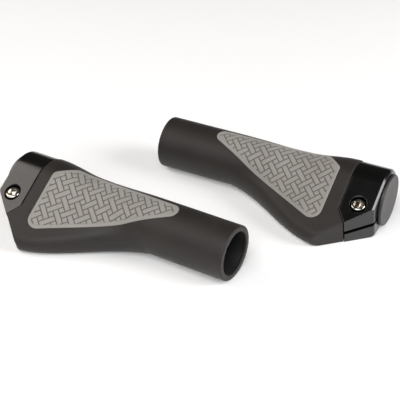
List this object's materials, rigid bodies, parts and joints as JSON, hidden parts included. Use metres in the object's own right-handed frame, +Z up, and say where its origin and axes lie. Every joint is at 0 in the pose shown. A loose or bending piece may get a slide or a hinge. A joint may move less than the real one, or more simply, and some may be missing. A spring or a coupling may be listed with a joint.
{
  "type": "handlebar grips",
  "caption": "Pair of ergonomic bicycle handlebar grips with a palm wing, a grey woven-texture pad, a screw clamp at the outer end and an end plug.",
  "frame": {"origin": "middle of the pair's outline on the surface that both grips lie on", "axes": "+Z up; +X along the left grip's bar axis, from its clamp towards its open inner end; the palm wings point to -Y"},
  "size_m": [0.1789, 0.1385, 0.0309],
  "materials": {
    "rubber": "matte moulded rubber with a soft sheen",
    "pad": "matte soft grey compound with a raised woven pattern",
    "nylon": "moulded glass-filled nylon, matte",
    "anodised": "black anodised, satin to gloss",
    "screw_steel": "bright nickel plated",
    "washer_steel": "plain steel",
    "plug_plastic": "fine matte moulded plastic"
  },
  "bodies": {
    "left_grip": {"left_rubber_body": "rubber", "left_palm_pad": "pad", "left_core_sleeve": "nylon"},
    "left_clamp": {"left_clamp_collar": "anodised"},
    "left_washer": {"left_screw_washer": "washer_steel"},
    "left_screw": {"left_clamp_screw": "screw_steel"},
    "left_plug": {"left_end_plug": "plug_plastic"},
    "right_grip": {"right_rubber_body": "rubber", "right_palm_pad": "pad", "right_core_sleeve": "nylon"},
    "right_clamp": {"right_clamp_collar": "anodised"},
    "right_washer": {"right_screw_washer": "washer_steel"},
    "right_screw": {"right_clamp_screw": "screw_steel"},
    "right_plug": {"right_end_plug": "plug_plastic"}
  },
  "joints": [
    {"name": "left_clamp_slide", "type": "slide", "parent": "left_grip", "child": "left_clamp", "axis": [-1, 0, 0], "range_m": [0, 0.02]},
    {"name": "left_screw_lift", "type": "slide", "parent": "left_clamp", "child": "left_washer", "axis": [0, -0.2588, 0.9659], "range_m": [0, 0.0056]},
    {"name": "left_screw_turn", "type": "hinge", "parent": "left_washer", "child": "left_screw", "pos_m": [-0.0788, -0.04823, 0.01691], "axis": [0, -0.2588, 0.9659], "range_deg": [0, 2880]},
    {"name": "left_plug_pull", "type": "slide", "parent": "left_clamp", "child": "left_plug", "axis": [-1, 0, 0], "range_m": [0, 0.016]},
    {"name": "right_clamp_slide", "type": "slide", "parent": "right_grip", "child": "right_clamp", "axis": [0.9982, 0.0593, 0], "range_m": [0, 0.02]},
    {"name": "right_screw_lift", "type": "slide", "parent": "right_clamp", "child": "right_washer", "axis": [0.0153, -0.2584, 0.9659], "range_m": [0, 0.0056]},
    {"name": "right_screw_turn", "type": "hinge", "parent": "right_washer", "child": "right_screw", "pos_m": [0.07923, 0.03338, 0.01691], "axis": [0.0153, -0.2584, 0.9659], "range_deg": [0, 2880]},
    {"name": "right_plug_pull", "type": "slide", "parent": "right_clamp", "child": "right_plug", "axis": [0.9982, 0.0593, 0], "range_m": [0, 0.016]},
    {"name": "right_grip_lift", "type": "slide", "parent": "left_grip", "child": "right_grip", "axis": [0, 0, 1], "range_m": [0, 0.08]}
  ],
  "couplings": [
    {"joint": "left_screw_turn", "follows": "left_screw_lift", "rad_per_m": 8976},
    {"joint": "right_screw_turn", "follows": "right_screw_lift", "rad_per_m": 8976}
  ]
}
